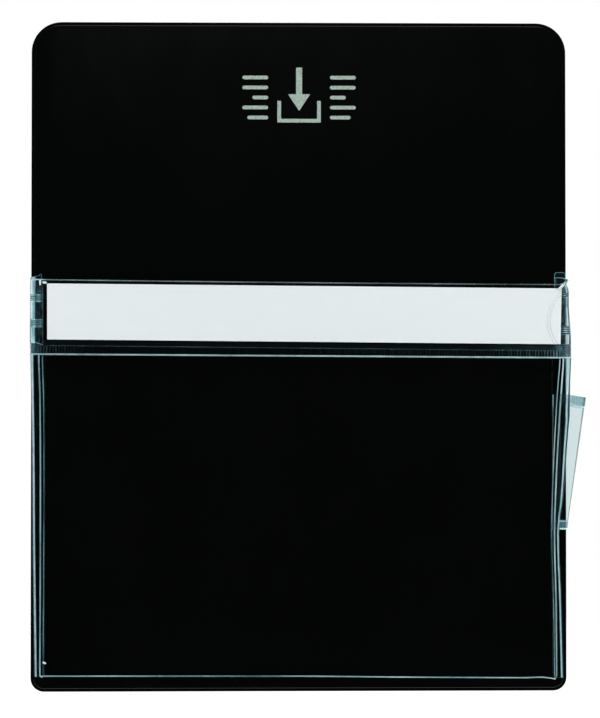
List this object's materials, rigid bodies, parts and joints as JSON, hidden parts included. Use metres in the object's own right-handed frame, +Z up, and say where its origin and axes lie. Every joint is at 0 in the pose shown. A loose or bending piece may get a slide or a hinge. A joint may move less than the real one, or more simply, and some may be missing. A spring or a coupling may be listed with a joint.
{
  "type": "magnetic document pocket",
  "caption": "Upright black panel with magnet strips behind and a clear film pocket in front, with a label sleeve and card, folding sides and a pen sleeve.",
  "frame": {"origin": "centre of the wall face of the middle magnet strip, which is the centre of the panel's back", "axes": "+X to the viewer's right, +Y into the wall, +Z up; the pocket's front faces -Y"},
  "size_m": [0.3316, 0.0196, 0.4],
  "materials": {
    "black_skin": "fine-grained black vinyl",
    "grey_board": "pressed board",
    "magnet_rubber": "matt magnet rubber",
    "clear_film": "clear soft vinyl with bright folds and ribbed welds",
    "white_paper": "smooth white card"
  },
  "bodies": {
    "back_panel": {"front_skin": "black_skin", "stiffener_board": "grey_board", "rear_skin": "black_skin", "magnet_strip_1": "magnet_rubber", "magnet_strip_2": "magnet_rubber", "magnet_strip_3": "magnet_rubber", "magnet_strip_4": "magnet_rubber", "magnet_strip_5": "magnet_rubber", "bottom_weld": "clear_film", "left_fold_flange": "clear_film", "right_fold_flange": "clear_film"},
    "pocket_face": {"front_sheet": "clear_film", "label_window": "clear_film", "pen_sleeve_flange": "clear_film"},
    "title_card": {"title_card": "white_paper"},
    "left_rear_fold": {"left_rear_fold": "clear_film"},
    "right_rear_fold": {"right_rear_fold": "clear_film"},
    "left_front_fold": {"left_front_fold": "clear_film"},
    "right_front_fold": {"right_front_fold": "clear_film"},
    "pen_sleeve": {"pen_sleeve_back": "clear_film", "pen_sleeve_front": "clear_film"}
  },
  "joints": [
    {"name": "pocket_open", "type": "hinge", "parent": "back_panel", "child": "pocket_face", "pos_m": [0, -0.00417, -0.19151], "axis": [1, 0, 0], "range_deg": [-1.9, 1.2], "stiffness_Nm_per_rad": 1},
    {"name": "left_rear_fold_turn", "type": "hinge", "parent": "back_panel", "child": "left_rear_fold", "pos_m": [-0.1545, -0.00363, -0.1915], "axis": [0, 0, 1], "range_deg": [-38.1, 24.1]},
    {"name": "right_rear_fold_turn", "type": "hinge", "parent": "back_panel", "child": "right_rear_fold", "pos_m": [0.1545, -0.00363, -0.1915], "axis": [0, 0, -1], "range_deg": [-38.1, 24.1]},
    {"name": "left_front_fold_turn", "type": "hinge", "parent": "pocket_face", "child": "left_front_fold", "pos_m": [-0.1545, -0.00417, -0.19151], "axis": [0, 0.0398, -0.9992], "range_deg": [-38.1, 24.1]},
    {"name": "right_front_fold_turn", "type": "hinge", "parent": "pocket_face", "child": "right_front_fold", "pos_m": [0.1545, -0.00417, -0.19151], "axis": [0, -0.0398, 0.9992], "range_deg": [-38.1, 24.1]},
    {"name": "card_slide", "type": "slide", "parent": "pocket_face", "child": "title_card", "axis": [1, 0, 0], "range_m": [0, 0.312]},
    {"name": "pen_sleeve_swing", "type": "hinge", "parent": "pocket_face", "child": "pen_sleeve", "pos_m": [0.1545, -0.00472, -0.19153], "axis": [0, 0.0398, -0.9992], "range_deg": [0, 90], "stiffness_Nm_per_rad": 0.002}
  ],
  "couplings": [
    {"joint": "left_rear_fold_turn", "follows": "pocket_open", "ratio": 20},
    {"joint": "right_rear_fold_turn", "follows": "pocket_open", "ratio": 20},
    {"joint": "left_front_fold_turn", "follows": "pocket_open", "ratio": 20},
    {"joint": "right_front_fold_turn", "follows": "pocket_open", "ratio": 20}
  ]
}
